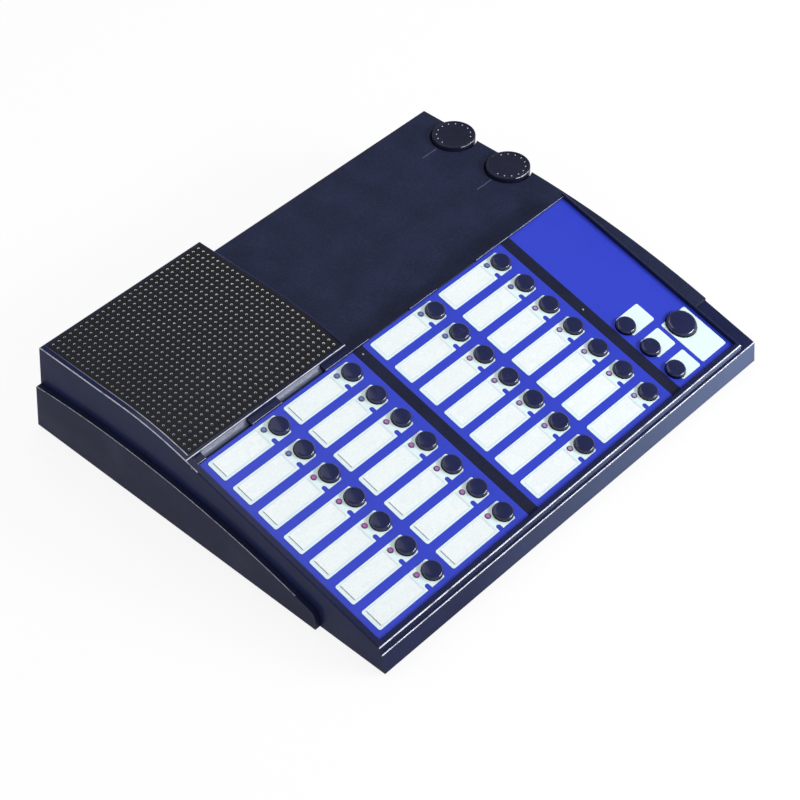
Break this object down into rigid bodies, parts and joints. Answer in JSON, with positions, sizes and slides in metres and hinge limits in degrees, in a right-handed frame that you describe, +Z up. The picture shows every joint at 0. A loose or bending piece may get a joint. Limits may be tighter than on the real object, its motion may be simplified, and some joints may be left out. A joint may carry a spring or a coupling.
{
  "type": "desk intercom",
  "caption": "Free-standing desk intercom: sloping console of push keys with labels and lamps, raised speaker box, low rear deck with flat thumbwheel knobs",
  "frame": {"origin": "on the desk, under the middle of the whole outline, knobs included", "axes": "+X to the right along the key rows, +Y to the rear, +Z up; the user sits on the -Y side"},
  "size_m": [0.2994, 0.2482, 0.0596],
  "materials": {
    "housing_black": "fine-grained moulding, satin",
    "shell_black": "fine-grained moulding, satin",
    "deck_black": "fine-grained moulding, satin",
    "grille_black": "fine-grained moulding",
    "steel": "plain sheet",
    "cone_paper": "pressed paper",
    "magnet": "dull",
    "plate_black": "fine grain",
    "overlay_blue": "satin printed film",
    "plate_pale": "satin film",
    "label_white": "clear cover over white paper",
    "label_paper": "paper",
    "lamp_grey": "tinted lens",
    "lamp_magenta": "tinted lens",
    "board_green": "solder mask",
    "chip_black": "moulded",
    "foot_rubber": "matte",
    "ribbon_grey": "satin",
    "key_black": "polished",
    "knob_black": "satin"
  },
  "bodies": {
    "intercom": {"upper_housing": "housing_black", "lower_shell": "shell_black", "deck_cover": "deck_black", "speaker_grille": "grille_black", "speaker_basket": "steel", "speaker_cone": "cone_paper", "speaker_magnet": "magnet", "key_plate": "plate_black", "panel_overlays": "overlay_blue", "name_plates": "plate_pale", "label_windows": "label_white", "label_strips": "label_paper", "function_plates": "plate_pale", "leds_grey": "lamp_grey", "leds_red": "lamp_magenta", "main_board": "board_green", "key_switches": "chip_black", "board_parts": "chip_black", "control_board": "board_green", "potentiometers": "steel", "microphone": "steel", "rear_connector": "steel", "case_screws": "steel", "board_screws": "steel", "rubber_feet": "foot_rubber", "ribbon_cable": "ribbon_grey"},
    "key_a1": {"key_a1": "key_black"},
    "key_a2": {"key_a2": "key_black"},
    "key_a3": {"key_a3": "key_black"},
    "key_a4": {"key_a4": "key_black"},
    "key_a5": {"key_a5": "key_black"},
    "key_a6": {"key_a6": "key_black"},
    "key_a7": {"key_a7": "key_black"},
    "key_b1": {"key_b1": "key_black"},
    "key_b2": {"key_b2": "key_black"},
    "key_b3": {"key_b3": "key_black"},
    "key_b4": {"key_b4": "key_black"},
    "key_b5": {"key_b5": "key_black"},
    "key_b6": {"key_b6": "key_black"},
    "key_b7": {"key_b7": "key_black"},
    "key_c1": {"key_c1": "key_black"},
    "key_c2": {"key_c2": "key_black"},
    "key_c3": {"key_c3": "key_black"},
    "key_c4": {"key_c4": "key_black"},
    "key_c5": {"key_c5": "key_black"},
    "key_c6": {"key_c6": "key_black"},
    "key_c7": {"key_c7": "key_black"},
    "key_d1": {"key_d1": "key_black"},
    "key_d2": {"key_d2": "key_black"},
    "key_d3": {"key_d3": "key_black"},
    "key_d4": {"key_d4": "key_black"},
    "key_d5": {"key_d5": "key_black"},
    "key_d6": {"key_d6": "key_black"},
    "key_d7": {"key_d7": "key_black"},
    "function_key_1": {"function_key_1": "key_black"},
    "function_key_2": {"function_key_2": "key_black"},
    "function_key_3": {"function_key_3": "key_black"},
    "talk_key": {"talk_key": "key_black"},
    "knob_front": {"knob_front": "knob_black"},
    "knob_rear": {"knob_rear": "knob_black"}
  },
  "joints": [
    {"name": "key_a1_press", "type": "slide", "parent": "intercom", "child": "key_a1", "axis": [0, 0.2689, -0.9632], "range_m": [0, 0.0015], "stiffness_N_per_m": 1000},
    {"name": "key_a2_press", "type": "slide", "parent": "intercom", "child": "key_a2", "axis": [0, 0.2689, -0.9632], "range_m": [0, 0.0015], "stiffness_N_per_m": 1000},
    {"name": "key_a3_press", "type": "slide", "parent": "intercom", "child": "key_a3", "axis": [0, 0.2689, -0.9632], "range_m": [0, 0.0015], "stiffness_N_per_m": 1000},
    {"name": "key_a4_press", "type": "slide", "parent": "intercom", "child": "key_a4", "axis": [0, 0.2689, -0.9632], "range_m": [0, 0.0015], "stiffness_N_per_m": 1000},
    {"name": "key_a5_press", "type": "slide", "parent": "intercom", "child": "key_a5", "axis": [0, 0.2689, -0.9632], "range_m": [0, 0.0015], "stiffness_N_per_m": 1000},
    {"name": "key_a6_press", "type": "slide", "parent": "intercom", "child": "key_a6", "axis": [0, 0.2689, -0.9632], "range_m": [0, 0.0015], "stiffness_N_per_m": 1000},
    {"name": "key_a7_press", "type": "slide", "parent": "intercom", "child": "key_a7", "axis": [0, 0.2689, -0.9632], "range_m": [0, 0.0015], "stiffness_N_per_m": 1000},
    {"name": "key_b1_press", "type": "slide", "parent": "intercom", "child": "key_b1", "axis": [0, 0.2689, -0.9632], "range_m": [0, 0.0015], "stiffness_N_per_m": 1000},
    {"name": "key_b2_press", "type": "slide", "parent": "intercom", "child": "key_b2", "axis": [0, 0.2689, -0.9632], "range_m": [0, 0.0015], "stiffness_N_per_m": 1000},
    {"name": "key_b3_press", "type": "slide", "parent": "intercom", "child": "key_b3", "axis": [0, 0.2689, -0.9632], "range_m": [0, 0.0015], "stiffness_N_per_m": 1000},
    {"name": "key_b4_press", "type": "slide", "parent": "intercom", "child": "key_b4", "axis": [0, 0.2689, -0.9632], "range_m": [0, 0.0015], "stiffness_N_per_m": 1000},
    {"name": "key_b5_press", "type": "slide", "parent": "intercom", "child": "key_b5", "axis": [0, 0.2689, -0.9632], "range_m": [0, 0.0015], "stiffness_N_per_m": 1000},
    {"name": "key_b6_press", "type": "slide", "parent": "intercom", "child": "key_b6", "axis": [0, 0.2689, -0.9632], "range_m": [0, 0.0015], "stiffness_N_per_m": 1000},
    {"name": "key_b7_press", "type": "slide", "parent": "intercom", "child": "key_b7", "axis": [0, 0.2689, -0.9632], "range_m": [0, 0.0015], "stiffness_N_per_m": 1000},
    {"name": "key_c1_press", "type": "slide", "parent": "intercom", "child": "key_c1", "axis": [0, 0.2689, -0.9632], "range_m": [0, 0.0015], "stiffness_N_per_m": 1000},
    {"name": "key_c2_press", "type": "slide", "parent": "intercom", "child": "key_c2", "axis": [0, 0.2689, -0.9632], "range_m": [0, 0.0015], "stiffness_N_per_m": 1000},
    {"name": "key_c3_press", "type": "slide", "parent": "intercom", "child": "key_c3", "axis": [0, 0.2689, -0.9632], "range_m": [0, 0.0015], "stiffness_N_per_m": 1000},
    {"name": "key_c4_press", "type": "slide", "parent": "intercom", "child": "key_c4", "axis": [0, 0.2689, -0.9632], "range_m": [0, 0.0015], "stiffness_N_per_m": 1000},
    {"name": "key_c5_press", "type": "slide", "parent": "intercom", "child": "key_c5", "axis": [0, 0.2689, -0.9632], "range_m": [0, 0.0015], "stiffness_N_per_m": 1000},
    {"name": "key_c6_press", "type": "slide", "parent": "intercom", "child": "key_c6", "axis": [0, 0.2689, -0.9632], "range_m": [0, 0.0015], "stiffness_N_per_m": 1000},
    {"name": "key_c7_press", "type": "slide", "parent": "intercom", "child": "key_c7", "axis": [0, 0.2689, -0.9632], "range_m": [0, 0.0015], "stiffness_N_per_m": 1000},
    {"name": "key_d1_press", "type": "slide", "parent": "intercom", "child": "key_d1", "axis": [0, 0.2689, -0.9632], "range_m": [0, 0.0015], "stiffness_N_per_m": 1000},
    {"name": "key_d2_press", "type": "slide", "parent": "intercom", "child": "key_d2", "axis": [0, 0.2689, -0.9632], "range_m": [0, 0.0015], "stiffness_N_per_m": 1000},
    {"name": "key_d3_press", "type": "slide", "parent": "intercom", "child": "key_d3", "axis": [0, 0.2689, -0.9632], "range_m": [0, 0.0015], "stiffness_N_per_m": 1000},
    {"name": "key_d4_press", "type": "slide", "parent": "intercom", "child": "key_d4", "axis": [0, 0.2689, -0.9632], "range_m": [0, 0.0015], "stiffness_N_per_m": 1000},
    {"name": "key_d5_press", "type": "slide", "parent": "intercom", "child": "key_d5", "axis": [0, 0.2689, -0.9632], "range_m": [0, 0.0015], "stiffness_N_per_m": 1000},
    {"name": "key_d6_press", "type": "slide", "parent": "intercom", "child": "key_d6", "axis": [0, 0.2689, -0.9632], "range_m": [0, 0.0015], "stiffness_N_per_m": 1000},
    {"name": "key_d7_press", "type": "slide", "parent": "intercom", "child": "key_d7", "axis": [0, 0.2689, -0.9632], "range_m": [0, 0.0015], "stiffness_N_per_m": 1000},
    {"name": "function_key_1_press", "type": "slide", "parent": "intercom", "child": "function_key_1", "axis": [0, 0.2689, -0.9632], "range_m": [0, 0.0015], "stiffness_N_per_m": 1000},
    {"name": "function_key_2_press", "type": "slide", "parent": "intercom", "child": "function_key_2", "axis": [0, 0.2689, -0.9632], "range_m": [0, 0.0015], "stiffness_N_per_m": 1000},
    {"name": "function_key_3_press", "type": "slide", "parent": "intercom", "child": "function_key_3", "axis": [0, 0.2689, -0.9632], "range_m": [0, 0.0015], "stiffness_N_per_m": 1000},
    {"name": "talk_key_press", "type": "slide", "parent": "intercom", "child": "talk_key", "axis": [0, 0.2689, -0.9632], "range_m": [0, 0.0015], "stiffness_N_per_m": 1000},
    {"name": "knob_front_turn", "type": "hinge", "parent": "intercom", "child": "knob_front", "pos_m": [0.13717, 0.048, 0.045], "axis": [0, 0, 1], "range_deg": [-135, 135]},
    {"name": "knob_rear_turn", "type": "hinge", "parent": "intercom", "child": "knob_rear", "pos_m": [0.13717, 0.0892, 0.045], "axis": [0, 0, 1], "range_deg": [-135, 135]}
  ]
}
